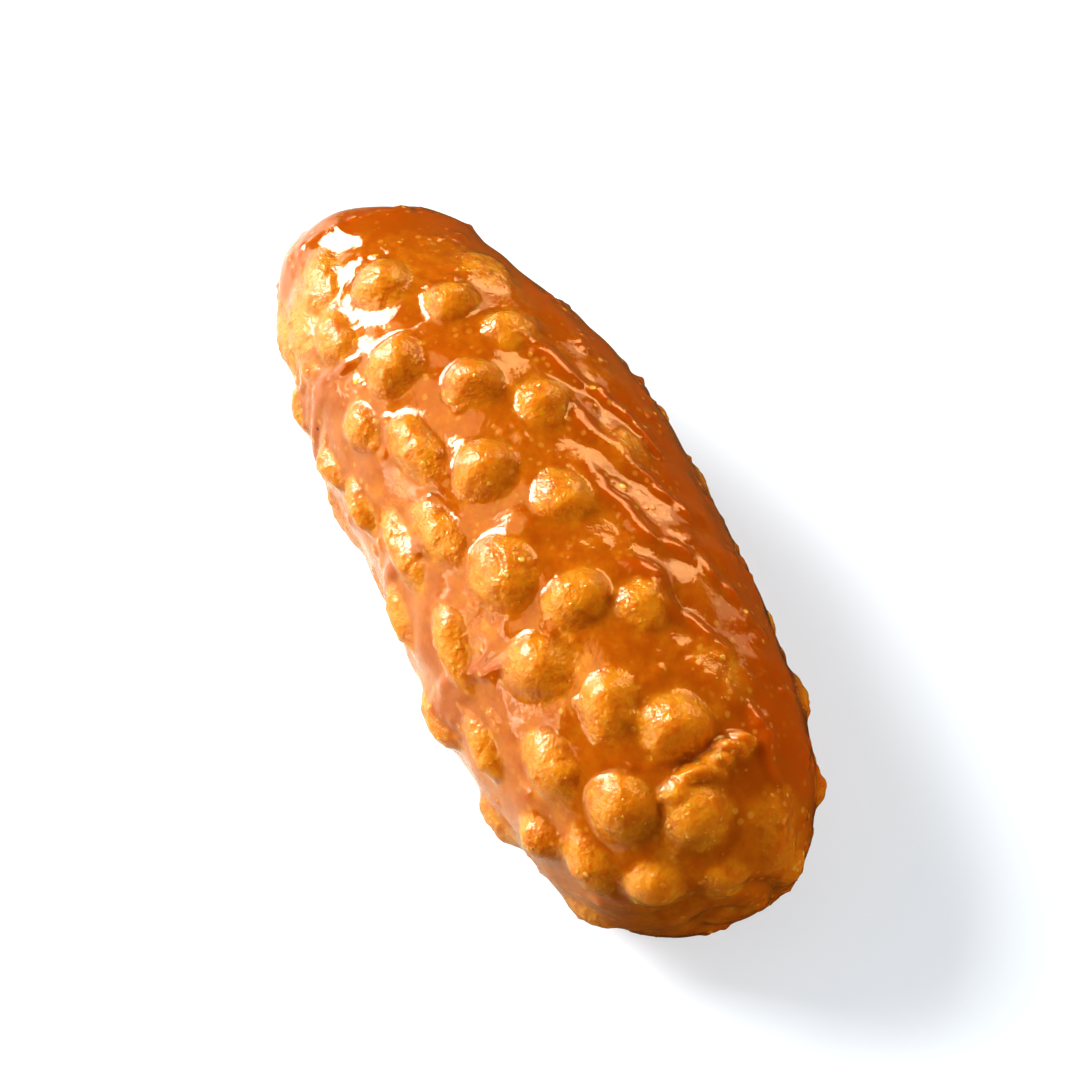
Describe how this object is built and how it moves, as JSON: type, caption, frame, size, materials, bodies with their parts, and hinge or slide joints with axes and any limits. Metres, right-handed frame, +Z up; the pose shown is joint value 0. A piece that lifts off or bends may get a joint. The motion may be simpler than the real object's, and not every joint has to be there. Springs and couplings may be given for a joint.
{
  "type": "syrup-soaked semolina finger pastry",
  "caption": "Rolled finger of fried semolina dough with rows of round beads pressed into its skin, soaked in amber syrup and lying on its flattened underside",
  "frame": {"origin": "on the floor under the middle of the finger", "axes": "+X along the finger towards its blunt beaded end, +Z up, the flattened underside down, the rolled sheet's edge low on the +Y side"},
  "size_m": [0.0656, 0.0272, 0.0243],
  "materials": {
    "syrup_dough": "golden brown fried dough under a clear, wet amber syrup film, darker in the valleys"
  },
  "bodies": {
    "root": {"zainab_finger": "syrup_dough"}
  },
  "joints": []
}
